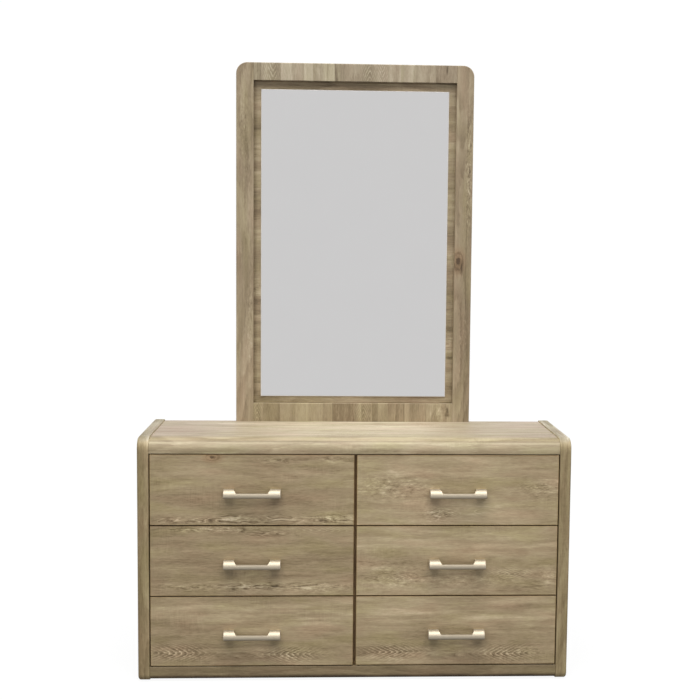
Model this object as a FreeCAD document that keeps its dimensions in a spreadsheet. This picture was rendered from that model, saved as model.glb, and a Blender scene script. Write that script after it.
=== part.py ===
# Dresser with a standing mirror: six drawers on ball-bearing slides, built as an
# assembly of separate boards, rails, pulls, slides and screws.
#
# Frame: millimetres, +Z up, +X to the right seen from the front, the front faces -Y.
# The origin is on the floor, at the centre of the whole object's outline.

import FreeCAD, Part
import os
import re

doc = FreeCAD.newDocument("DresserWithMirror")

# ------------------------------------------------------------------ dimensions
DIMS = [
    # carcass
    ("overall_width", 1350.0),   # outside of the side panels
    ("front_plane", -201.5),     # Y of the side panels' front edges
    ("side_thick", 36.0),        # built-up side panels
    ("side_depth", 410.0),
    ("side_top", 771.0),         # height of the side panels' top edge
    ("side_corner", 38.0),       # round top front corner of a side panel
    ("side_toe", 20.0),          # round bottom front corner
    ("side_outer", 8.0),         # rounding along the outer edge
    ("side_inner", 2.0),         # rounding along the inner edge
    ("glide_high", 2.0),         # floor glides under the side panels
    ("glide_radius", 14.0),
    ("glide_inset", 45.0),
    ("board", 18.0),             # board thickness
    ("top_height", 767.0),       # the top's surface above the floor
    ("front_inset", 3.0),        # rails and fronts sit behind the side edges
    ("rail_back", 56.0),         # rails run back to here
    ("rail_under", 720.9),       # underside of the top rail
    ("rail_nose", 35.0),         # big rounding of the top rail
    ("toe_under", 7.0),          # underside of the bottom rail
    ("toe_top", 46.5),           # top of the bottom rail and bottom panel
    ("toe_nose", 10.0),
    ("edge_soft", 1.0),          # eased board edges
    ("seam_soft", 0.6),          # eased edges at the seam between rail and top
    ("back_thick", 3.0),         # hardboard
    ("rabbet_side", 10.0),       # rabbet width in the side panels
    ("rabbet_top", 9.0),         # rabbet height in the top panel
    ("fit_gap", 0.5),            # play of the back panel in its rabbets
    ("divider_front", 22.5),
    # drawers
    ("pitch", 223.8),
    ("first_front", 49.5),       # underside of the lowest front
    ("front_high", 220.8),
    ("front_wide", 631.5),
    ("front_start", 4.5),        # inner end of a front, from the middle of the dresser
    ("bay_middle", 324.0),       # middle of a drawer bay, from the middle of the dresser
    ("box_wide", 604.6),
    ("box_thick", 16.0),
    ("box_long", 360.0),
    ("box_high", 160.0),
    ("box_lift", 20.0),          # box sides start this far above the front's underside
    ("bottom_lift", 30.0),       # grooves for the drawer bottom
    ("bottom_thick", 3.0),
    ("groove_high", 3.2),
    ("groove_deep", 6.0),
    ("groove_play", 0.2),
    # slides: 45 mm ball-bearing slides, 12.7 mm wide, 350 mm long
    ("slide_long", 350.0),
    ("slide_start", 24.0),
    ("slide_wide", 12.7),
    ("slide_lift", 57.5),        # underside of the cabinet member above the front's underside
    ("outer_high", 45.0),
    ("outer_lip", 9.4),
    ("middle_high", 39.2),
    ("middle_from", 2.2),
    ("middle_lip", 8.4),
    ("inner_high", 33.4),
    ("inner_lip", 8.0),
    ("steel", 1.2),
    # pulls
    ("pull_long", 178.0),
    ("pull_high", 27.0),
    ("pull_deep", 28.0),
    ("pull_drop", 9.5),          # pull's centre below the front's centre
    ("pull_block", 33.0),        # length of each end block
    ("pull_bar_high", 15.5),
    ("pull_bar_deep", 12.0),
    ("pull_brow", 20.0),         # rounding of the upper front edge
    ("pull_chin", 6.5),          # rounding of the lower front edge
    ("pull_slope", 7.5),         # run of the slanted ends of the cut-away
    ("pull_notch", 4.0),         # rounding in the corners of the cut-away
    ("pull_end", 2.5),
    ("pull_spacing", 160.0),     # hole to hole
    ("pull_thread", 2.05),
    ("pull_thread_deep", 10.0),
    ("screw_shank", 2.0),
    ("screw_long", 25.0),
    ("screw_head", 4.0),
    ("screw_head_high", 2.4),
    ("screw_clear", 2.5),        # hole through the drawer front
    # mirror
    ("mirror_wide", 794.0),
    ("mirror_top", 1968.0),
    ("mirror_board", 16.0),
    ("mirror_stile", 58.0),
    ("mirror_head", 58.0),
    ("mirror_sill", 62.0),
    ("mirror_corner", 37.0),
    ("mirror_outer", 2.5),
    ("mirror_edge", 1.0),
    ("backing_thick", 16.0),
    ("backing_lap", 16.0),
    ("glass_wide", 629.0),
    ("glass_tall", 1030.0),
    ("glass_from", 852.0),
    ("glass_thick", 4.0),
    ("glass_bevel", 1.5),
    ("batten_wide", 36.0),
    ("batten_thick", 18.0),
    ("batten_from", 26.0),
    ("batten_to", 1224.0),
    ("wood_screw", 2.4),         # shank radius
    ("wood_screw_hole", 2.5),
    ("wood_screw_long", 30.0),   # with its head
    ("wood_screw_head", 4.6),
    ("wood_screw_sink", 4.7),
    ("wood_screw_head_high", 2.4),
    ("level_base", 37.5),        # heights of the batten screws
    ("level_top", 753.0),
    ("level_low", 842.0),
    ("level_high", 1164.0),
    ("batten_middle", 376.0),    # middle of a batten, from the middle of the dresser
]

sheet = doc.addObject("Spreadsheet::Sheet", "Dims")
for row, (alias, value) in enumerate(DIMS, start=1):
    sheet.set("A%d" % row, alias.replace("_", " "))
    sheet.set("B%d" % row, repr(value))
    sheet.setAlias("B%d" % row, alias)
doc.recompute()

NUM = dict(DIMS)
WORD = re.compile(r"\b(" + "|".join(sorted(NUM, key=len, reverse=True)) + r")\b")


def bound(text):
    """An expression in terms of the sheet's cells."""
    return WORD.sub(r"Dims.\1", text)


def value(text):
    """The same expression worked out from the dimension table."""
    total = text
    total = WORD.sub(lambda m: repr(NUM[m.group(1)]), total)
    tokens = re.findall(r"\d+\.?\d*(?:e-?\d+)?|[-+*/()]", total)
    return parse_sum(tokens)[0]


def parse_sum(tokens):
    left, rest = parse_product(tokens)
    while rest and rest[0] in "+-":
        sign = rest[0]
        right, rest = parse_product(rest[1:])
        left = left + right if sign == "+" else left - right
    return left, rest


def parse_product(tokens):
    left, rest = parse_atom(tokens)
    while rest and rest[0] in "*/":
        sign = rest[0]
        right, rest = parse_atom(rest[1:])
        left = left * right if sign == "*" else left / right
    return left, rest


def parse_atom(tokens):
    if tokens[0] == "-":
        inner, rest = parse_atom(tokens[1:])
        return -inner, rest
    if tokens[0] == "(":
        inner, rest = parse_sum(tokens[1:])
        return inner, rest[1:]
    return float(tokens[0]), tokens[1:]


NODES = {}


def node(obj, name):
    """Register a finished sub-part under its node name."""
    obj.Label = name
    NODES[name] = obj
    return obj


def place(obj, x, y, z, rotation=None):
    if rotation is not None:
        obj.Placement = FreeCAD.Placement(FreeCAD.Vector(value(x), value(y), value(z)), rotation)
    obj.setExpression("Placement.Base.x", bound(x))
    obj.setExpression("Placement.Base.y", bound(y))
    obj.setExpression("Placement.Base.z", bound(z))


# ------------------------------------------------------------- modelling tools
def new_body(name):
    return doc.addObject("PartDesign::Body", name)


def plane(body, role):
    return [f for f in body.Origin.OriginFeatures if f.Role == role][0]


def outline(body, name, role, points):
    """A closed polygon sketch on one of the body's own origin planes, every corner
    dimensioned from the origin."""
    import Sketcher
    sketch = body.newObject("Sketcher::SketchObject", name)
    sketch.AttachmentSupport = (plane(body, role), [""])
    sketch.MapMode = "FlatFace"
    count = len(points)
    where = [(value(a), value(b)) for a, b in points]
    for i in range(count):
        a, b = where[i], where[(i + 1) % count]
        sketch.addGeometry(Part.LineSegment(FreeCAD.Vector(a[0], a[1], 0),
                                            FreeCAD.Vector(b[0], b[1], 0)), False)
    for i in range(count):
        sketch.addConstraint(Sketcher.Constraint("Coincident", i, 2, (i + 1) % count, 1))
    for i, (px, py) in enumerate(points):
        for kind, text, number, axis in (("DistanceX", px, where[i][0], -2),
                                         ("DistanceY", py, where[i][1], -1)):
            if abs(number) < 1e-9:
                sketch.addConstraint(Sketcher.Constraint("PointOnObject", i, 1, axis))
            else:
                index = sketch.addConstraint(Sketcher.Constraint(kind, -1, 1, i, 1, number))
                sketch.renameConstraint(index, "%s%d" % ("ax" if kind == "DistanceX" else "ay", i))
                sketch.setExpression("Constraints[%d]" % index, bound(text))
    return sketch


def circles(body, name, role, centres, radius):
    """A sketch of equal circles."""
    import Sketcher
    sketch = body.newObject("Sketcher::SketchObject", name)
    sketch.AttachmentSupport = (plane(body, role), [""])
    sketch.MapMode = "FlatFace"
    for i, (px, py) in enumerate(centres):
        cx, cy = value(px), value(py)
        sketch.addGeometry(Part.Circle(FreeCAD.Vector(cx, cy, 0), FreeCAD.Vector(0, 0, 1),
                                       value(radius)), False)
        index = sketch.addConstraint(Sketcher.Constraint("Radius", i, value(radius)))
        sketch.setExpression("Constraints[%d]" % index, bound(radius))
        for kind, text, number in (("DistanceX", px, cx), ("DistanceY", py, cy)):
            index = sketch.addConstraint(Sketcher.Constraint(kind, -1, 1, i, 3, number))
            sketch.setExpression("Constraints[%d]" % index, bound(text))
    return sketch


def pad(body, sketch, name, length, reverse=False):
    feature = body.newObject("PartDesign::Pad", name)
    feature.Profile = sketch
    feature.Length = value(length)
    feature.setExpression("Length", bound(length))
    feature.Reversed = reverse
    doc.recompute()
    return feature


def pocket(body, sketch, name, length, reverse=False):
    before = body.Shape.Volume
    feature = body.newObject("PartDesign::Pocket", name)
    feature.Profile = sketch
    feature.Length = value(length)
    feature.setExpression("Length", bound(length))
    feature.Reversed = reverse
    doc.recompute()
    if not feature.Shape.Volume < before - 1.0:
        raise RuntimeError("%s in %s cuts nothing" % (name, body.Name))
    return feature


def chosen(feature, test):
    """Names of the edges that a test on their middle point and end points accepts."""
    names = []
    for i, edge in enumerate(feature.Shape.Edges, start=1):
        first, last = edge.ParameterRange
        middle = edge.valueAt(0.5 * (first + last))
        ends = (edge.valueAt(first), edge.valueAt(last))
        if test(middle, ends[0], ends[1], edge):
            names.append("Edge%d" % i)
    return names


def soften(body, name, radius, test, kind="PartDesign::Fillet", expect=None):
    base = body.Tip
    names = chosen(base, test)
    if not names or (expect is not None and len(names) != expect):
        raise RuntimeError("%s in %s found %d edges" % (name, body.Name, len(names)))
    before = base.Shape.Volume
    feature = body.newObject(kind, name)
    feature.Base = (base, names)
    if kind.endswith("Fillet"):
        feature.Radius = value(radius)
        feature.setExpression("Radius", bound(radius))
    else:
        feature.Size = value(radius)
        feature.setExpression("Size", bound(radius))
    doc.recompute()
    if feature.Shape.isNull() or not feature.isValid() or abs(feature.Shape.Volume - before) < 1e-6:
        raise RuntimeError("%s in %s failed" % (name, body.Name))
    return feature


def near(a, b, tol=1e-3):
    return abs(a - b) < tol


def box_body(name, wide, deep, high):
    """A board: a rectangle drawn on the floor plane and raised."""
    body = new_body(name)
    sketch = outline(body, name + "_plan", "XY_Plane",
                     [("0", "0"), (wide, "0"), (wide, deep), ("0", deep)])
    pad(body, sketch, name + "_pad", high)
    return body


# ------------------------------------------------------------------ side panels
def side_panel(name, right):
    body = new_body(name)
    high = "side_top-glide_high"
    profile = outline(body, name + "_profile", "YZ_Plane",
                      [("0", "0"), ("side_depth", "0"), ("side_depth", high), ("0", high)])
    pad(body, profile, name + "_pad", "side_thick")
    tall = value(high)
    thick = NUM["side_thick"]
    deep = NUM["side_depth"]
    # rabbet for the back panel, on the inner rear edge
    inner = ("0", "rabbet_side") if right else ("side_thick-rabbet_side", "side_thick")
    groove = outline(body, name + "_rabbet_plan", "XY_Plane",
                     [(inner[0], "side_depth-back_thick"), (inner[1], "side_depth-back_thick"),
                      (inner[1], "side_depth"), (inner[0], "side_depth")])
    pocket(body, groove, name + "_rabbet", "top_height-rabbet_top-glide_high", True)
    soften(body, name + "_corner", "side_corner",
           lambda m, a, b, e: near(m.y, 0) and near(m.z, tall) and near(m.x, thick / 2), expect=1)
    soften(body, name + "_toe", "side_toe",
           lambda m, a, b, e: near(m.y, 0) and near(m.z, 0) and near(m.x, thick / 2), expect=1)
    outer_x = thick if right else 0.0
    inner_x = 0.0 if right else thick
    soften(body, name + "_outer", "side_outer",
           lambda m, a, b, e: near(m.x, outer_x) and near(m.y, 0) and near(a.y, 0) and near(b.y, 0))
    soften(body, name + "_inner", "side_inner",
           lambda m, a, b, e: near(m.x, inner_x) and near(m.y, 0) and near(a.y, 0) and near(b.y, 0))
    x = "overall_width/2-side_thick" if right else "0-overall_width/2"
    place(body, x, "front_plane", "glide_high")
    return node(body, name)


side_panel("side_panel_left", False)
side_panel("side_panel_right", True)

# ------------------------------------------------------------- top, rails, base
CLEAR_WIDE = "overall_width-2*side_thick"
CLEAR_LEFT = "side_thick-overall_width/2"

rail = box_body("top_front_rail", CLEAR_WIDE, "rail_back-front_inset", "top_height-rail_under")
rail_high = value("top_height-rail_under")
rail_deep = value("rail_back-front_inset")
soften(rail, "top_rail_nose", "rail_nose",
       lambda m, a, b, e: near(m.y, 0) and near(m.z, rail_high) and near(a.z, b.z) and near(a.y, b.y),
       expect=1)
soften(rail, "top_rail_drip", "edge_soft",
       lambda m, a, b, e: near(m.y, 0) and near(m.z, 0) and near(a.z, b.z), expect=1)
soften(rail, "top_rail_seam", "seam_soft",
       lambda m, a, b, e: near(m.y, rail_deep) and near(m.z, rail_high) and near(a.z, b.z), expect=1)
place(rail, CLEAR_LEFT, "front_plane+front_inset", "rail_under")
node(rail, "top_front_rail")

top = box_body("top_panel", CLEAR_WIDE, "side_depth-rail_back", "board")
top_deep = value("side_depth-rail_back")
top_rabbet = outline(top, "top_rabbet_profile", "YZ_Plane",
                     [("side_depth-rail_back-back_thick", "0"), ("side_depth-rail_back", "0"),
                      ("side_depth-rail_back", "rabbet_top"),
                      ("side_depth-rail_back-back_thick", "rabbet_top")])
pocket(top, top_rabbet, "top_rabbet", CLEAR_WIDE, True)
soften(top, "top_seam", "seam_soft",
       lambda m, a, b, e: near(m.y, 0) and near(m.z, NUM["board"]) and near(a.z, b.z), expect=1)
soften(top, "top_rear_edge", "edge_soft",
       lambda m, a, b, e: near(m.y, top_deep) and near(m.z, NUM["board"]) and near(a.z, b.z), expect=1)
place(top, CLEAR_LEFT, "front_plane+rail_back", "top_height-board")
node(top, "top_panel")

toe = box_body("bottom_front_rail", CLEAR_WIDE, "rail_back-front_inset", "toe_top-toe_under")
toe_high = value("toe_top-toe_under")
soften(toe, "toe_nose", "toe_nose",
       lambda m, a, b, e: near(m.y, 0) and near(m.z, 0) and near(a.z, b.z), expect=1)
soften(toe, "toe_top_edge", "edge_soft",
       lambda m, a, b, e: near(m.y, 0) and near(m.z, toe_high) and near(a.z, b.z), expect=1)
place(toe, CLEAR_LEFT, "front_plane+front_inset", "toe_under")
node(toe, "bottom_front_rail")

base = box_body("bottom_panel", CLEAR_WIDE, "side_depth-rail_back-back_thick", "board")
place(base, CLEAR_LEFT, "front_plane+rail_back", "toe_top-board")
node(base, "bottom_panel")

divider = new_body("centre_divider")
divider_profile = outline(
    divider, "divider_profile", "YZ_Plane",
    [("0", "0"),
     ("side_depth-back_thick-divider_front", "0"),
     ("side_depth-back_thick-divider_front", "top_height-board-toe_top"),
     ("rail_back-divider_front", "top_height-board-toe_top"),
     ("rail_back-divider_front", "rail_under-toe_top"),
     ("0", "rail_under-toe_top")])
pad(divider, divider_profile, "divider_pad", "board")
place(divider, "0-board/2", "front_plane+divider_front", "toe_top")
node(divider, "centre_divider")

back = box_body("back_panel",
                "overall_width-2*side_thick+2*rabbet_side-2*fit_gap", "back_thick",
                "top_height-rabbet_top-fit_gap-toe_top+board-1.5")
place(back, "side_thick-rabbet_side+fit_gap-overall_width/2",
      "front_plane+side_depth-back_thick", "toe_top-board+1.5")
node(back, "back_panel")

# ---------------------------------------------------------------- floor glides
glides = []
for tag, x in (("left", "side_thick/2-overall_width/2"), ("right", "overall_width/2-side_thick/2")):
    for end, y in (("front", "front_plane+glide_inset"), ("rear", "front_plane+side_depth-glide_inset")):
        pin = new_body("glide_%s_%s" % (end, tag))
        ring = circles(pin, "glide_circle_%s_%s" % (end, tag), "XY_Plane",
                       [("0", "0")], "glide_radius")
        pad(pin, ring, "glide_pad_%s_%s" % (end, tag), "glide_high")
        soften(pin, "glide_foot_%s_%s" % (end, tag), "edge_soft",
               lambda m, a, b, e: near(m.z, 0) and e.Closed, expect=1)
        place(pin, x, y, "0")
        glides.append(pin)


def group(name, members):
    """One node that holds several separate solids."""
    compound = doc.addObject("Part::Compound", name)
    compound.Links = members
    return node(compound, name)


group("floor_glides", glides)

# ----------------------------------------------------------------------- mirror
MIRROR_FRONT = "front_plane+side_depth-mirror_board"


def mirror_stile(name, right):
    high = "mirror_top-top_height"
    body = box_body(name, "mirror_stile", "mirror_board", high)
    tall = value(high)
    wide = NUM["mirror_stile"]
    outer_x = wide if right else 0.0
    inner_x = 0.0 if right else wide
    soften(body, name + "_corner", "mirror_corner",
           lambda m, a, b, e: near(m.x, outer_x) and near(m.z, tall) and near(a.z, b.z)
           and near(a.x, b.x), expect=1)
    # the rounded outer edge runs up the stile, round the corner and along its top
    soften(body, name + "_outer", "mirror_outer",
           lambda m, a, b, e: near(m.y, 0) and near(a.y, 0) and near(b.y, 0)
           and near(m.x, outer_x) and near(a.x, b.x) and m.z > 1.0)
    soften(body, name + "_inner", "mirror_edge",
           lambda m, a, b, e: near(m.x, inner_x) and near(m.y, 0) and near(a.x, b.x)
           and abs(a.z - b.z) > 100.0, expect=1)
    x = "mirror_wide/2-mirror_stile" if right else "0-mirror_wide/2"
    place(body, x, MIRROR_FRONT, "top_height")
    return node(body, name)


mirror_stile("mirror_stile_left", False)
mirror_stile("mirror_stile_right", True)

head = box_body("mirror_top_rail", "mirror_wide-2*mirror_stile", "mirror_board", "mirror_head")
soften(head, "head_outer", "mirror_outer",
       lambda m, a, b, e: near(m.y, 0) and near(m.z, NUM["mirror_head"]) and near(a.z, b.z), expect=1)
soften(head, "head_inner", "mirror_edge",
       lambda m, a, b, e: near(m.y, 0) and near(m.z, 0) and near(a.z, b.z), expect=1)
place(head, "mirror_stile-mirror_wide/2", MIRROR_FRONT, "mirror_top-mirror_head")
node(head, "mirror_top_rail")

sill = box_body("mirror_bottom_rail", "mirror_wide-2*mirror_stile", "mirror_board", "mirror_sill")
soften(sill, "sill_inner", "mirror_edge",
       lambda m, a, b, e: near(m.y, 0) and near(m.z, NUM["mirror_sill"]) and near(a.z, b.z), expect=1)
place(sill, "mirror_stile-mirror_wide/2", MIRROR_FRONT, "top_height")
node(sill, "mirror_bottom_rail")

backing = box_body("mirror_backing_board", "mirror_wide-2*mirror_stile+2*backing_lap", "backing_thick",
                   "mirror_top-mirror_head-top_height-mirror_sill+2*backing_lap")
place(backing, "mirror_stile-backing_lap-mirror_wide/2", "front_plane+side_depth",
      "top_height+mirror_sill-backing_lap")
node(backing, "mirror_backing_board")

glass = box_body("mirror_glass", "glass_wide", "glass_thick", "glass_tall")
soften(glass, "glass_polish", "glass_bevel", lambda m, a, b, e: near(m.y, 0) and near(a.y, 0) and near(b.y, 0),
       kind="PartDesign::Chamfer", expect=4)
place(glass, "0-glass_wide/2", "front_plane+side_depth-glass_thick", "glass_from")
node(glass, "mirror_glass")

# wood screws hold the battens to the bottom panel, the top panel and the stiles
def at_depth(sketch, depth):
    """Move a sketch on an XZ plane back to a depth along +Y."""
    sketch.AttachmentOffset = FreeCAD.Placement(FreeCAD.Vector(0, 0, -value(depth)), FreeCAD.Rotation())
    sketch.setExpression("AttachmentOffset.Base.z", "0-(%s)" % bound(depth))
    return sketch


def drill_rear(body, name, centres, face, deep, radius="wood_screw_hole"):
    """Blind holes in a board's rear face, which lies at y = face in the board's frame."""
    holes = at_depth(circles(body, name + "_plan", "XZ_Plane", centres, radius), face)
    pocket(body, holes, name, deep, True)


STILE_HOLES = ["level_low-top_height", "level_high-top_height"]
drill_rear(NODES["mirror_stile_left"], "stile_holes_left",
           [("mirror_wide/2-batten_middle", z) for z in STILE_HOLES],
           "mirror_board", "wood_screw_long-batten_thick+1")
drill_rear(NODES["mirror_stile_right"], "stile_holes_right",
           [("batten_middle-mirror_wide/2+mirror_stile", z) for z in STILE_HOLES],
           "mirror_board", "wood_screw_long-batten_thick+1")
ACROSS = ["overall_width/2-side_thick-batten_middle", "overall_width/2-side_thick+batten_middle"]
drill_rear(top, "top_holes", [(x, "level_top-top_height+board") for x in ACROSS],
           "side_depth-rail_back-back_thick", "wood_screw_long-batten_thick-back_thick+1")
drill_rear(base, "base_holes", [(x, "level_base-toe_top+board") for x in ACROSS],
           "side_depth-rail_back-back_thick", "wood_screw_long-batten_thick-back_thick+1")
drill_rear(back, "back_holes",
           [("%s+rabbet_side-fit_gap" % x, z) for x in ACROSS
            for z in ("level_base-toe_top+board-1.5", "level_top-toe_top+board-1.5")],
           "back_thick", "back_thick")

battens = []
LEVELS = ["level_base", "level_top", "level_low", "level_high"]
for tag, side in (("left", "0-batten_middle"), ("right", "batten_middle")):
    piece = box_body("batten_" + tag, "batten_wide", "batten_thick", "batten_to-batten_from")
    soften(piece, "batten_soft_" + tag, "2*edge_soft",
           lambda m, a, b, e: near(m.y, NUM["batten_thick"]))
    centres = [("batten_wide/2", "%s-batten_from" % level) for level in LEVELS]
    drill_rear(piece, "batten_holes_" + tag, centres, "batten_thick", "batten_thick")
    drill_rear(piece, "batten_sinks_" + tag, centres, "batten_thick", "wood_screw_head_high",
               "wood_screw_sink")
    place(piece, side + "-batten_wide/2", "front_plane+side_depth", "batten_from")
    battens.append(piece)
group("mirror_supports", battens)

TO_FRONT = FreeCAD.Rotation(FreeCAD.Vector(1, 0, 0), 90)


def screw(name, shank, long, head, neck, head_high, slot_long, slot_wide):
    """A screw that points to -Y: the head's outer face lies at its placement, with a
    cross recess in it. long is measured over all."""
    shaft = doc.addObject("Part::Cylinder", name + "_shank")
    shaft.setExpression("Radius", bound(shank))
    shaft.setExpression("Height", bound(long))
    cap = doc.addObject("Part::Cone", name + "_cap")
    cap.setExpression("Radius1", bound(head))
    cap.setExpression("Radius2", bound(neck))
    cap.setExpression("Height", bound(head_high))
    blank = doc.addObject("Part::Fuse", name + "_blank")
    blank.Base = shaft
    blank.Tool = cap
    slots = []
    for k, (sx, sy) in enumerate(((slot_long, slot_wide), (slot_wide, slot_long))):
        slot = doc.addObject("Part::Box", name + "_slot%d" % k)
        slot.Length, slot.Width, slot.Height = sx, sy, 1.4
        slot.Placement.Base = FreeCAD.Vector(-sx / 2, -sy / 2, -0.2)
        slots.append(slot)
    cross = doc.addObject("Part::Fuse", name + "_cross")
    cross.Base, cross.Tool = slots
    done = doc.addObject("Part::Cut", name)
    done.Base = blank
    done.Tool = cross
    doc.recompute()
    return done


screws = []
for tag, side in (("left", "0-batten_middle"), ("right", "batten_middle")):
    for level in LEVELS:
        piece = screw("wood_screw_%s_%s" % (level[6:], tag), "wood_screw", "wood_screw_long",
                      "wood_screw_head", "wood_screw", "wood_screw_head_high", 4.6, 1.1)
        place(piece, side, "front_plane+side_depth+batten_thick", level, TO_FRONT)
        screws.append(piece)
group("mirror_screws", screws)

# ---------------------------------------------------------------------- drawers
ROWS = [("bottom", "0"), ("middle", "pitch"), ("top", "2*pitch")]
SIDES = [("left", -1), ("right", 1)]


def mirrored(side, inner, wide):
    """Left edge of something wide that starts at inner on the right-hand half."""
    return inner if side > 0 else "0-(%s)-(%s)" % (inner, wide)


def channel(name, start, width, lip, high, opens_right):
    """A steel channel rail that runs back along Y: web on one side, two lips."""
    body = new_body(name)
    if opens_right:
        points = [("0", "0"), (lip, "0"), (lip, "steel"), ("steel", "steel"),
                  ("steel", "%s-steel" % high), (lip, "%s-steel" % high), (lip, high), ("0", high)]
        web = 0.0
    else:
        points = [(lip, "0"), (lip, high), ("0", high), ("0", "%s-steel" % high),
                  ("%s-steel" % lip, "%s-steel" % high), ("%s-steel" % lip, "steel"),
                  ("0", "steel"), ("0", "0")]
        web = value(lip)
    sketch = outline(body, name + "_section", "XZ_Plane", points)
    pad(body, sketch, name + "_pad", "slide_long", True)
    tall = value(high)
    soften(body, name + "_bends", "1.5*edge_soft",
           lambda m, a, b, e: near(m.x, web) and (near(m.z, 0) or near(m.z, tall))
           and abs(a.y - b.y) > 100.0, expect=2)
    return body


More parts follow.
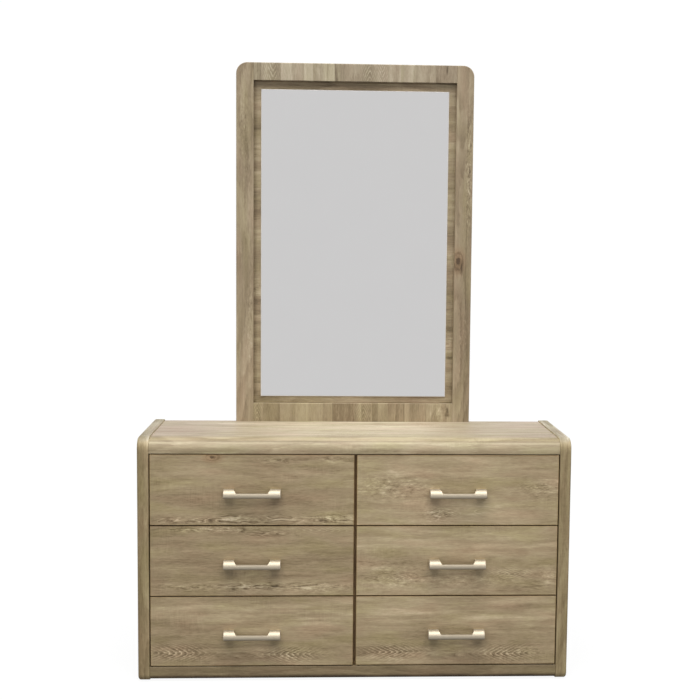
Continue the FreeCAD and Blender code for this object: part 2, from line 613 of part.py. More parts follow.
cabinet_members = []
for row, lift in ROWS:
    for side_name, side in SIDES:
        tag = "%s_%s" % (row, side_name)
        floor = "first_front+%s" % lift

        # front: grooved for the drawer bottom, drilled for the pull
        front = box_body("drawer_front_" + tag, "front_wide", "board", "front_high")
        soften(front, "front_edges_" + tag, "edge_soft",
               lambda m, a, b, e: near(m.y, 0) and near(a.y, 0) and near(b.y, 0), expect=4)
        box_start = "bay_middle-box_wide/2-front_start" if side > 0 else             "front_wide-bay_middle-box_wide/2+front_start"
        groove = at_depth(outline(
            front, "front_groove_plan_" + tag, "XZ_Plane",
            [("%s+box_thick-groove_deep" % box_start, "bottom_lift"),
             ("%s+box_wide-box_thick+groove_deep" % box_start, "bottom_lift"),
             ("%s+box_wide-box_thick+groove_deep" % box_start, "bottom_lift+groove_high"),
             ("%s+box_thick-groove_deep" % box_start, "bottom_lift+groove_high")]),
            "board-groove_deep")
        pocket(front, groove, "front_groove_" + tag, "groove_deep")
        holes = circles(front, "front_holes_plan_" + tag, "XZ_Plane",
                        [("front_wide/2-pull_spacing/2", "front_high/2-pull_drop"),
                         ("front_wide/2+pull_spacing/2", "front_high/2-pull_drop")], "screw_clear")
        pocket(front, holes, "front_holes_" + tag, "board")
        place(front, mirrored(side, "front_start", "front_wide"), "front_plane+front_inset", floor)
        node(front, "drawer_front_" + tag)

        # sides
        walls = []
        for end in ("inner", "outer"):
            wall = box_body("drawer_side_%s_%s" % (end, tag), "box_thick", "box_long", "box_high")
            soften(wall, "side_top_%s_%s" % (end, tag), "1.5*edge_soft",
                   lambda m, a, b, e: near(m.z, NUM["box_high"]) and abs(a.y - b.y) > 100.0, expect=2)
            # the wall on the left of its box has its groove on its right face
            on_left = (end == "inner") == (side > 0)
            x0, x1 = ("box_thick-groove_deep", "box_thick") if on_left else ("0", "groove_deep")
            slot = outline(wall, "side_groove_plan_%s_%s" % (end, tag), "XZ_Plane",
                           [(x0, "bottom_lift-box_lift"), (x1, "bottom_lift-box_lift"),
                            (x1, "bottom_lift-box_lift+groove_high"),
                            (x0, "bottom_lift-box_lift+groove_high")])
            pocket(wall, slot, "side_groove_%s_%s" % (end, tag), "box_long")
            inner = "bay_middle-box_wide/2" if end == "inner" else "bay_middle+box_wide/2-box_thick"
            place(wall, mirrored(side, inner, "box_thick"),
                  "front_plane+front_inset+board", floor + "+box_lift")
            walls.append(wall)
        group("drawer_sides_" + tag, walls)

        # back
        rear = box_body("drawer_back_" + tag, "box_wide-2*box_thick", "box_thick", "box_high")
        soften(rear, "back_top_" + tag, "1.5*edge_soft",
               lambda m, a, b, e: near(m.z, NUM["box_high"]) and near(a.y, b.y), expect=2)
        slot = outline(rear, "back_groove_plan_" + tag, "YZ_Plane",
                       [("0", "bottom_lift-box_lift"), ("groove_deep", "bottom_lift-box_lift"),
                        ("groove_deep", "bottom_lift-box_lift+groove_high"),
                        ("0", "bottom_lift-box_lift+groove_high")])
        pocket(rear, slot, "back_groove_" + tag, "box_wide-2*box_thick", True)
        place(rear, mirrored(side, "bay_middle-box_wide/2+box_thick", "box_wide-2*box_thick"),
              "front_plane+front_inset+board+box_long-box_thick", floor + "+box_lift")
        node(rear, "drawer_back_" + tag)

        # bottom, captive in the grooves
        plate = box_body("drawer_bottom_" + tag,
                         "box_wide-2*box_thick+2*groove_deep-2*groove_play",
                         "box_long-box_thick+2*groove_deep-2*groove_play", "bottom_thick")
        place(plate, mirrored(side, "bay_middle-box_wide/2+box_thick-groove_deep+groove_play",
                              "box_wide-2*box_thick+2*groove_deep-2*groove_play"),
              "front_plane+front_inset+board-groove_deep+groove_play", floor + "+bottom_lift")
        node(plate, "drawer_bottom_" + tag)

        # pull: one casting with two end blocks, cut away above and behind its bar
        pull = box_body("pull_" + tag, "pull_long", "pull_deep", "pull_high")
        soften(pull, "pull_brow_" + tag, "pull_brow",
               lambda m, a, b, e: near(m.y, 0) and near(m.z, NUM["pull_high"]) and near(a.z, b.z), expect=1)
        soften(pull, "pull_chin_" + tag, "pull_chin",
               lambda m, a, b, e: near(m.y, 0) and near(m.z, 0) and near(a.z, b.z), expect=1)
        notch = outline(pull, "pull_notch_plan_" + tag, "XZ_Plane",
                        [("pull_block+pull_slope", "pull_bar_high"),
                         ("pull_long-pull_block-pull_slope", "pull_bar_high"),
                         ("pull_long-pull_block+pull_slope", "2*pull_high-pull_bar_high"),
                         ("pull_block-pull_slope", "2*pull_high-pull_bar_high")])
        pocket(pull, notch, "pull_cutaway_" + tag, "pull_deep")
        soften(pull, "pull_notch_" + tag, "pull_notch",
               lambda m, a, b, e: near(m.z, NUM["pull_bar_high"]) and near(a.z, b.z) and near(a.x, b.x)
               and abs(a.y - b.y) > 15.0, expect=2)
        gap = outline(pull, "pull_gap_plan_" + tag, "XY_Plane",
                      [("pull_block", "pull_bar_deep"), ("pull_long-pull_block", "pull_bar_deep"),
                       ("pull_long-pull_block", "pull_deep+5"), ("pull_block", "pull_deep+5")])
        pocket(pull, gap, "pull_gap_" + tag, "pull_high", True)
        soften(pull, "pull_ends_" + tag, "pull_end",
               lambda m, a, b, e: (near(m.x, 0) or near(m.x, NUM["pull_long"])) and near(a.x, b.x)
               and m.y < NUM["pull_deep"] - 1.0)
        threads = at_depth(circles(pull, "pull_thread_plan_" + tag, "XZ_Plane",
                                   [("pull_long/2-pull_spacing/2", "pull_high/2"),
                                    ("pull_long/2+pull_spacing/2", "pull_high/2")],
                                   "pull_thread"), "pull_deep")
        pocket(pull, threads, "pull_threads_" + tag, "pull_thread_deep", True)
        pull_x = mirrored(side, "front_start+front_wide/2", "0")
        pull_z = floor + "+front_high/2-pull_drop"
        place(pull, pull_x + "-pull_long/2", "front_plane+front_inset-pull_deep",
              pull_z + "-pull_high/2")
        members = [pull]
        for end, shift in (("a", "-pull_spacing/2"), ("b", "+pull_spacing/2")):
            bolt = screw("pull_screw_%s_%s" % (end, tag), "screw_shank", "screw_long",
                         "screw_head", "screw_head*0.85", "screw_head_high", 4.0, 0.9)
            place(bolt, pull_x + shift, "front_plane+front_inset+board+screw_head_high",
                  pull_z, TO_FRONT)
            members.append(bolt)
        group("handle_" + tag, members)

        # slides: a cabinet member, a middle member and a drawer member on each side
        level = floor + "+slide_lift"
        depth = "front_plane+slide_start"
        middle_members, drawer_members = [], []
        for end in ("inner", "outer"):
            # at the inner end of the bay the slide's wall is on its left for a right-hand drawer
            wall_left = (end == "inner") == (side > 0)
            from_wall = "bay_middle-box_wide/2-slide_wide" if end == "inner" else                 "bay_middle+box_wide/2+slide_wide"
            start = from_wall if side > 0 else "0-(%s)" % from_wall

            def put(piece, offset, wide, rise, members):
                x = "%s+%s" % (start, offset) if wall_left else "%s-(%s)-(%s)" % (start, offset, wide)
                place(piece, x, depth, level + "+" + rise)
                members.append(piece)

            outer = channel("slide_outer_%s_%s" % (end, tag), "0", "outer_lip", "outer_lip",
                            "outer_high", wall_left)
            put(outer, "0", "outer_lip", "0", cabinet_members)
            middle = channel("slide_middle_%s_%s" % (end, tag), "0", "middle_lip", "middle_lip",
                             "middle_high", wall_left)
            put(middle, "middle_from", "middle_lip", "(outer_high-middle_high)/2", middle_members)
            inner_rail = channel("slide_inner_%s_%s" % (end, tag), "0", "inner_lip", "inner_lip",
                                 "inner_high", not wall_left)
            put(inner_rail, "slide_wide-inner_lip", "inner_lip", "(outer_high-inner_high)/2",
                drawer_members)
        group("slide_middles_" + tag, middle_members)
        group("drawer_slides_" + tag, drawer_members)

group("cabinet_slides", cabinet_members)
doc.recompute()

# --------------------------------------------------------------- check and write
for obj in doc.Objects:
    if "Invalid" in obj.State or "Error" in obj.State:
        raise RuntimeError("%s is %s" % (obj.Label, obj.State))
if len(NODES) > 60:
    raise RuntimeError("%d nodes" % len(NODES))
os.makedirs("parts", exist_ok=True)
for name in sorted(NODES):
    obj = NODES[name]
    shape = obj.Shape
    if shape.isNull() or not shape.isValid():
        raise RuntimeError("%s has a bad shape" % name)
    if not shape.Solids or any(part.Volume <= 0 for part in shape.Solids):
        raise RuntimeError("%s has no solid" % name)
    shape.exportStep("parts/%s.step" % name)
    bb = shape.BoundBox
    print("%-28s %2d solid(s) %12.1f mm3  x %8.1f %8.1f  y %8.1f %8.1f  z %8.1f %8.1f" % (
        name, len(shape.Solids), shape.Volume, bb.XMin, bb.XMax, bb.YMin, bb.YMax, bb.ZMin, bb.ZMax))
print(len(NODES), "nodes")
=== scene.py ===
import math

import bpy
from mathutils import Matrix, Vector

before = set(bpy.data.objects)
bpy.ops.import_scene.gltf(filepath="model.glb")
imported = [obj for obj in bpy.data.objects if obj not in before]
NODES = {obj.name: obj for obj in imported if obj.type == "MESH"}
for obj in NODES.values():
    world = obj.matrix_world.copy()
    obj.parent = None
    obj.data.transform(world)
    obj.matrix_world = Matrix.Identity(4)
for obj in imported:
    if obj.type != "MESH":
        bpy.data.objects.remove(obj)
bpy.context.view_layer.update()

SCENE = bpy.context.scene

FRONT = -0.2015      # Y of the side panels' front edges
TOP = 0.767          # height of the top
STILE_X = 0.397      # outer edge of the mirror's frame
TAGS = [row + "_" + side for row in ("bottom", "middle", "top") for side in ("left", "right")]


# ------------------------------------------------------------------- node graphs
def linear(red, green, blue, gain=1.0):
    """A display colour of 0 to 255 as a linear colour."""
    def one(v):
        v = v / 255.0
        return v / 12.92 if v <= 0.04045 else ((v + 0.055) / 1.055) ** 2.4
    return (one(red) * gain, one(green) * gain, one(blue) * gain, 1.0)


class Graph:
    """The nodes of one material, with a Principled shader at their end."""

    def __init__(self, name):
        self.material = bpy.data.materials.new(name)
        self.material.use_nodes = True
        self.tree = self.material.node_tree
        self.tree.nodes.clear()
        self.output = self.tree.nodes.new("ShaderNodeOutputMaterial")
        self.shader = self.tree.nodes.new("ShaderNodeBsdfPrincipled")
        self.tree.links.new(self.shader.outputs["BSDF"], self.output.inputs["Surface"])
        self.axes = None

    def add(self, kind, **settings):
        made = self.tree.nodes.new(kind)
        for key, value in settings.items():
            setattr(made, key, value)
        return made

    def feed(self, socket, value):
        if isinstance(value, bpy.types.NodeSocket):
            self.tree.links.new(value, socket)
        else:
            socket.default_value = value

    def maths(self, operation, *values, clamp=False):
        made = self.add("ShaderNodeMath", operation=operation, use_clamp=clamp)
        for socket, value in zip(made.inputs, values):
            self.feed(socket, value)
        return made.outputs[0]

    def plus(self, *values):
        total = values[0]
        for value in values[1:]:
            total = self.maths("ADD", total, value)
        return total

    def less(self, a, b):
        return self.maths("SUBTRACT", a, b)

    def times(self, *values):
        total = values[0]
        for value in values[1:]:
            total = self.maths("MULTIPLY", total, value)
        return total

    def about(self, value, gain, middle=0.5):
        """(value - middle) * gain"""
        return self.maths("MULTIPLY_ADD", value, gain, -middle * gain)

    def between(self, value, low, high, out_low=0.0, out_high=1.0, smooth=True):
        made = self.add("ShaderNodeMapRange", clamp=True,
                        interpolation_type="SMOOTHSTEP" if smooth else "LINEAR")
        for socket, number in zip(made.inputs, (value, low, high, out_low, out_high)):
            self.feed(socket, number)
        return made.outputs[0]

    def vector(self, x, y, z):
        made = self.add("ShaderNodeCombineXYZ")
        for socket, value in zip(made.inputs, (x, y, z)):
            self.feed(socket, value)
        return made.outputs[0]

    def place(self):
        """X, Y and Z of the piece's own space, in metres."""
        if self.axes is None:
            where = self.add("ShaderNodeTexCoord")
            split = self.add("ShaderNodeSeparateXYZ")
            self.tree.links.new(where.outputs["Object"], split.inputs[0])
            self.axes = tuple(split.outputs)
        return self.axes

    def normal(self):
        split = self.add("ShaderNodeSeparateXYZ")
        self.tree.links.new(self.add("ShaderNodeNewGeometry").outputs["True Normal"], split.inputs[0])
        return tuple(split.outputs)

    def noise(self, x, y, z, scale=1.0, detail=2.0, rough=0.5, twist=0.0, out="Fac"):
        made = self.add("ShaderNodeTexNoise", noise_dimensions="3D")
        self.feed(made.inputs["Vector"], self.vector(x, y, z))
        made.inputs["Scale"].default_value = scale
        made.inputs["Detail"].default_value = detail
        made.inputs["Roughness"].default_value = rough
        made.inputs["Distortion"].default_value = twist
        return made.outputs[out]

    def grain(self, space, along, across, detail=2.0, rough=0.5, twist=0.0, shift=0.0):
        """Noise stretched along the grain: its sizes are the two scales, per metre."""
        u, v, w = space
        return self.noise(self.maths("MULTIPLY_ADD", u, along, shift),
                          self.times(v, across), self.times(w, across), 1.0, detail, rough, twist)

    def ramp(self, value, stops, ease="LINEAR"):
        made = self.add("ShaderNodeValToRGB")
        made.color_ramp.interpolation = ease
        row = made.color_ramp.elements
        while len(row) > 1:
            row.remove(row[-1])
        row[0].position, row[0].color = stops[0]
        for where, colour in stops[1:]:
            row.new(where).color = colour
        self.feed(made.inputs["Fac"], value)
        return made.outputs["Color"]

    def mix(self, amount, a, b, kind="MIX"):
        made = self.add("ShaderNodeMix", data_type="RGBA", blend_type=kind)
        self.feed(made.inputs[0], amount)
        self.feed(made.inputs[6], a)
        self.feed(made.inputs[7], b)
        return made.outputs[2]

    def relief(self, height, strength, distance):
        made = self.add("ShaderNodeBump")
        made.inputs["Strength"].default_value = strength
        made.inputs["Distance"].default_value = distance
        self.feed(made.inputs["Height"], height)
        self.tree.links.new(made.outputs["Normal"], self.shader.inputs["Normal"])

    def finish(self, colour, rough, metal=0.0, **constants):
        self.feed(self.shader.inputs["Base Color"], colour)
        self.feed(self.shader.inputs["Roughness"], rough)
        self.shader.inputs["Metallic"].default_value = metal
        for key, value in constants.items():
            self.shader.inputs[key.replace("_", " ")].default_value = value
        return self.material


def dress(material, *names):
    for name in names:
        slots = NODES[name].data.materials
        slots.clear()
        slots.append(material)


# ------------------------------------------------------------------------- oak
WOOD = [  # how dark or light the print is, and its colour there
    (0.00, (84, 70, 50)),
    (0.25, (121, 105, 79)),
    (0.50, (151, 135, 107)),
    (0.75, (175, 160, 131)),
    (1.00, (204, 191, 164)),
]


def stops(gain):
    """The wood's colours, each channel scaled by its gain."""
    row = []
    for where, colour in WOOD:
        c = linear(*colour)
        row.append((where, tuple(min(1.0, c[i] * gain[i]) for i in range(3)) + (1.0,)))
    return row


def oak(name, space, seed, gain=(1.0, 1.0, 1.0), tone=0.0, mottle=0.55, streak=0.30, fibre=0.42,
        saw=0.05, arches=(), flecks=(), knots=(), slabs=(), pores=0.4, hue=0.9, wobble=1.0,
        gloss=0.0, bands=(), posts=(), strips=(), rounds=(), patches=(), wild=(), figure=0.07,
        rings=9.0, cool=(), edge=None, lined=None, crown=None, shine=0.5):
    """Foil printed as rustic oak. space is (along, across, depth) as sockets, in metres.

    arches: pointed figure, as (along, across, half length, half width, way, pitch, spread,
            strength); way is the direction along the grain that the tips point in
    flecks: mottled places, as (along, across, half length, half width, strength)
    patches: lighter or darker places, as (along, across, half length, half width, strength)
    wild: burly places with pale lobes in dark outlines, given as the patches are
    knots: (along, across, radius, strength)
    slabs: short pieces side by side, as (from, to, tone, warm to olive), across the grain
    bands: straight stripes along the grain, as (across, half width, strength)
    posts: straight stripes over the grain, as (along, half width, strength)
    strips: stripes along the grain of an edge, as (depth, half width, strength)
    rounds: lighter or darker places on an edge, as (along, depth, half length, half width,
            strength)
    cool: places where the print is less yellow, as (along, across, half length, half width)
    edge: (axis socket, factor) scales the colour of the faces that turn away from that axis: painted shade on
    the fronts' edges in the gaps, painted light on the top's edges
    lined: (left, right, low, high, half width) painted shade: a brown line where the face meets its edges,
    deepening the gaps
    crown: (axis socket, factor) painted light and sheen: lightens and cools the faces that turn towards that
    axis
    """
    g, (u, v, w) = space
    shift = seed * 1.37
    u0, v0, w0 = u, v, w
    u = g.plus(u, shift)
    steps = []
    for count, (start, stop, darker, greener) in enumerate(slabs):
        inside = g.less(g.between(v0, start - 0.0008, start + 0.0008),
                        g.between(v0, stop - 0.0008, stop + 0.0008))
        steps.append((inside, darker, greener))
        u = g.plus(u, g.times(inside, 0.61 * (count + 1)))
    # the grain swings a little, and closes round the knots
    swing = g.noise(g.times(u, 1.3), g.times(v, 6.0), g.times(w, 6.0), 1.0, 2.0, 0.5)
    ripple = g.noise(g.times(u, 9.0), g.times(v, 40.0), g.times(w, 40.0), 1.0, 1.0, 0.5)
    v = g.plus(v, g.about(swing, 0.016 * wobble), g.about(ripple, 0.0034 * wobble))
    dark_knots = red_knots = None
    for along, across, radius, strength in knots:
        du = g.less(u0, along)
        dv = g.less(v0, across)
        far = g.maths("SQRT", g.plus(g.maths("POWER", g.times(du, 0.55 / radius), 2.0),
                                     g.maths("POWER", g.times(dv, 1.0 / radius), 2.0)))
        pull = g.maths("POWER", 2.718, g.times(g.times(far, far), -0.16))
        v = g.less(v, g.times(dv, pull, 0.85))
        rag = g.noise(u, v0, w0, 0.9 / radius, 3.0, 0.6)
        ragged = g.plus(far, g.about(rag, 1.5))
        # a dark heart, a paler ring, a thin dark rim and a warm surround
        core = g.times(g.between(ragged, 0.95, 0.40), strength)
        rim = g.times(g.between(ragged, 1.35, 1.65), g.between(ragged, 2.15, 1.85), strength * 0.34)
        halo = g.times(g.between(far, 3.6, 0.9), strength * 0.22)
        mark = g.plus(core, rim, halo)
        warmth = g.times(g.between(far, 4.2, 1.2), strength)
        dark_knots = mark if dark_knots is None else g.maths("MAXIMUM", dark_knots, mark)
        red_knots = warmth if red_knots is None else g.maths("MAXIMUM", red_knots, warmth)
    fine = (u, v, w)
    clouds = g.grain(fine, 2.8, 13.0, 2.0, 0.5, shift=3.1)
    streaks = g.grain(fine, 5.5, 62.0, 3.0, 0.55, shift=7.7)
    lines = g.grain(fine, 15.0, 190.0, 3.0, 0.6, shift=1.9)
    dashes = g.grain(fine, 52.0, 430.0, 2.0, 0.6, shift=8.6)
    hairs = g.grain(fine, 60.0, 1500.0, 2.0, 0.6, shift=5.3)
    blots = g.grain(fine, 46.0, 150.0, 2.0, 0.6, shift=6.4)
    specks = g.grain(fine, 120.0, 330.0, 2.0, 0.6, shift=17.2) if flecks else None
    tint = g.grain(fine, 5.0, 20.0, 2.0, 0.5, shift=9.4)

    def spot(along, across, long, wide):
        a = g.maths("POWER", g.times(g.less(u0, along), 1.0 / long), 2.0)
        b = g.maths("POWER", g.times(g.less(v0, across), 1.0 / wide), 2.0)
        return g.maths("POWER", 2.718, g.times(g.plus(a, b), -1.0))

    level = g.plus(0.5 + tone, g.about(clouds, mottle), g.about(streaks, streak * 1.5),
                   g.about(lines, streak), g.about(dashes, fibre), g.about(hairs, 0.22),
                   g.about(blots, 0.16))
    relief = g.plus(g.about(lines, 0.4), g.about(dashes, 0.3), g.about(hairs, 0.5))
    # growth lines: the contours of a slow field
    slow = g.grain(fine, 1.5, 8.0, 1.0, 0.5, shift=12.6)
    turn = g.maths("FRACT", g.plus(g.times(slow, rings), g.about(streaks, 0.7), g.about(blots, 0.3), 5.0))
    late = g.less(g.between(turn, 0.15, 0.80), g.between(turn, 0.82, 1.0))
    level = g.less(level, g.times(g.about(late, 1.0, 0.42), figure * 2.0))
    if wild:
        lobes = g.grain(fine, 13.0, 60.0, 1.0, 0.5, twist=0.5, shift=15.3)
        turn = g.maths("FRACT", g.plus(g.times(lobes, 4.2), g.about(streaks, 0.4), 5.0))
        rim = g.less(g.between(turn, 0.40, 0.80), g.between(turn, 0.84, 1.0))
        pale = g.times(g.between(turn, 0.98, 0.86), g.between(turn, 0.80, 0.88))
        pale = g.plus(pale, g.between(turn, 0.30, 0.10))
        for along, across, long, wide, strength in wild:
            here = g.times(spot(along, across, long, wide), g.between(clouds, 0.25, 0.6, 0.6, 1.15))
            level = g.plus(level, g.times(here, rim, -0.26 * strength),
                           g.times(here, pale, 0.22 * strength))
    for along, across, long, wide, strength in patches:
        ragged = g.times(spot(along, across, long, wide), g.between(streaks, 0.30, 0.62, 0.4, 1.25))
        level = g.plus(level, g.times(ragged, strength))
    for along, depth, long, thick, strength in rounds:
        a = g.maths("POWER", g.times(g.less(u0, along), 1.0 / long), 2.0)
        b = g.maths("POWER", g.times(g.less(w0, depth), 1.0 / thick), 2.0)
        level = g.plus(level, g.times(g.maths("POWER", 2.718, g.times(g.plus(a, b), -1.0)), strength))
    for along, across, long, wide, strength in flecks:
        here = g.times(spot(along, across, long, wide), g.between(clouds, 0.25, 0.6, 0.5, 1.2))
        lit = g.times(g.between(blots, 0.52, 0.72), 0.24 * strength)
        dim = g.times(g.between(blots, 0.47, 0.28), -0.24 * strength)
        level = g.plus(level, g.times(here, g.plus(lit, dim, g.about(specks, 0.85 * strength),
                                                   0.03 * strength)))
    for along, across, long, wide, way, pitch, spread, strength in arches:
        a = g.less(v, across)
        s = g.maths("SQRT", g.plus(g.times(a, a), 0.0000080))
        run = g.plus(g.times(g.less(u0, along), way), g.times(s, spread))
        phase = g.maths("FRACT", g.plus(g.times(run, 1.0 / pitch), g.about(streaks, 1.4),
                                        g.about(blots, 0.7), 20.0))
        dark = g.less(g.between(phase, 0.30, 0.82), g.between(phase, 0.84, 1.0))
        light = g.times(g.between(phase, 0.0, 0.10), g.between(phase, 0.34, 0.14))
        here = g.times(spot(along, across, long, wide), g.between(dashes, 0.34, 0.58, 0.35, 1.0))
        level = g.plus(level, g.times(here, dark, -0.30 * strength),
                       g.times(here, light, 0.55 * strength))
        relief = g.less(relief, g.times(dark, here, 0.3))
    for axis, rows, ragged in ((v0, bands, (0.6, 1.1)), (u0, posts, (0.8, 1.1)), (w0, strips, (0.3, 1.3))):
        for middle, half, strength in rows:
            a = g.less(axis, middle)
            near = g.maths("POWER", 2.718, g.times(g.maths("POWER", g.times(a, 1.0 / half), 2.0), -1.0))
            level = g.plus(level, g.times(near, strength, g.between(clouds, 0.25, 0.6, *ragged)))
    for inside, darker, greener in steps:
        level = g.plus(level, g.times(inside, darker))
        tint = g.plus(tint, g.times(inside, greener))
    # marks of the saw, across the grain, in patches
    where = g.between(g.grain(fine, 5.0, 11.0, 1.0, 0.5, shift=2.2), 0.52, 0.68)
    kerf = g.noise(g.times(u, 190.0), g.times(v0, 30.0), g.times(w0, 30.0), 1.0, 1.0, 0.5)
    sawn = g.times(g.about(kerf, 1.0), where)
    level = g.plus(level, g.times(sawn, saw * 4.0))
    # open pores: short fine dashes
    dots = g.between(g.grain(fine, 80.0, 900.0, 0.0, 0.5, shift=4.4), 0.62, 0.74)
    level = g.less(level, g.times(dots, 0.14 * pores))
    if dark_knots is not None:
        level = g.less(level, g.times(dark_knots, 0.50))
    colour = g.ramp(level, stops(gain))
    warm = tuple(1.0 + hue * k for k in (0.044, -0.014, 0.004)) + (1.0,)
    olive = tuple(1.0 + hue * k for k in (-0.030, -0.004, -0.105)) + (1.0,)
    colour = g.mix(1.0, colour, g.ramp(tint, [(0.30, warm), (0.50, (1.0, 1.0, 1.0, 1.0)),
                                              (0.70, olive)]), "MULTIPLY")
    for place in cool:
        colour = g.mix(spot(*place), colour, g.mix(1.0, colour, (1.02, 0.99, 1.09, 1.0), "MULTIPLY"))
    if red_knots is not None:
        colour = g.mix(red_knots, colour, g.mix(1.0, colour, (1.05, 0.93, 0.86, 1.0), "MULTIPLY"))
    # painted light and sheen: the faces turned towards the axis lighter and cooler
    if crown:
        turned, factor = crown
        colour = g.mix(g.between(turned, 0.55, 0.95), colour,
                       g.mix(1.0, colour, tuple(factor) + (1.0,), "MULTIPLY"))
    # painted shade where the factor is below one, painted light where it is above one, on the faces turned away
    # from the axis
    if edge:
        turned, factor = edge
        away = g.between(g.maths("ABSOLUTE", turned), 0.95, 0.70)
        colour = g.mix(away, colour, g.mix(1.0, colour, tuple(factor) + (1.0,), "MULTIPLY"))
    # painted shade: a brown line round the face, along the gaps
    if lined:
        left, right, low, high, half = lined
        near = None
        for axis, place in ((u0, left), (u0, right), (v0, low), (v0, high)):
            a = g.times(g.less(axis, place), 1.0 / half)
            one = g.maths("POWER", 2.718, g.times(a, a, -1.0))
            near = one if near is None else g.maths("MAXIMUM", near, one)
        flat = g.between(g.maths("ABSOLUTE", turned), 0.70, 0.95)
        colour = g.mix(g.times(near, flat), colour,
                       g.mix(1.0, colour, (0.98, 0.80, 0.42, 1.0), "MULTIPLY"))
    relief = g.plus(relief, g.times(dots, -0.9), g.times(sawn, 0.5))
    g.relief(relief, 0.30, 0.0003)
    rough = g.plus(0.50 - gloss, g.about(lines, 0.14), g.times(dots, 0.10))
    return g.finish(colour, rough, Specular_IOR_Level=shine)


def straight(name, along, across, depth):
    """A board whose grain runs along one axis."""
    g = Graph(name)
    axes = dict(zip("XYZ", g.place()))
    return g, (axes[along], axes[across], axes[depth])


def wrapped(name, along, across, depth, path, face_axis, hold):
    """A board whose edges are wrapped: away from its faces, the grain follows the edge.

    path gives the signs of the two axes that the edge turns between, and hold the place
    of the edge on the face's across axis."""
    g = Graph(name)
    axes = dict(zip("XYZ", g.place()))
    turned = dict(zip("XYZ", g.normal()))[face_axis]
    edge = g.between(g.maths("ABSOLUTE", turned), 0.74, 0.68)
    offset = g.times(g.less(axes[across], hold), path)
    u = g.plus(axes[along], g.times(edge, offset))
    v = g.plus(g.times(axes[across], g.less(1.0, edge)), g.times(edge, hold))
    return g, (u, v, axes[depth])
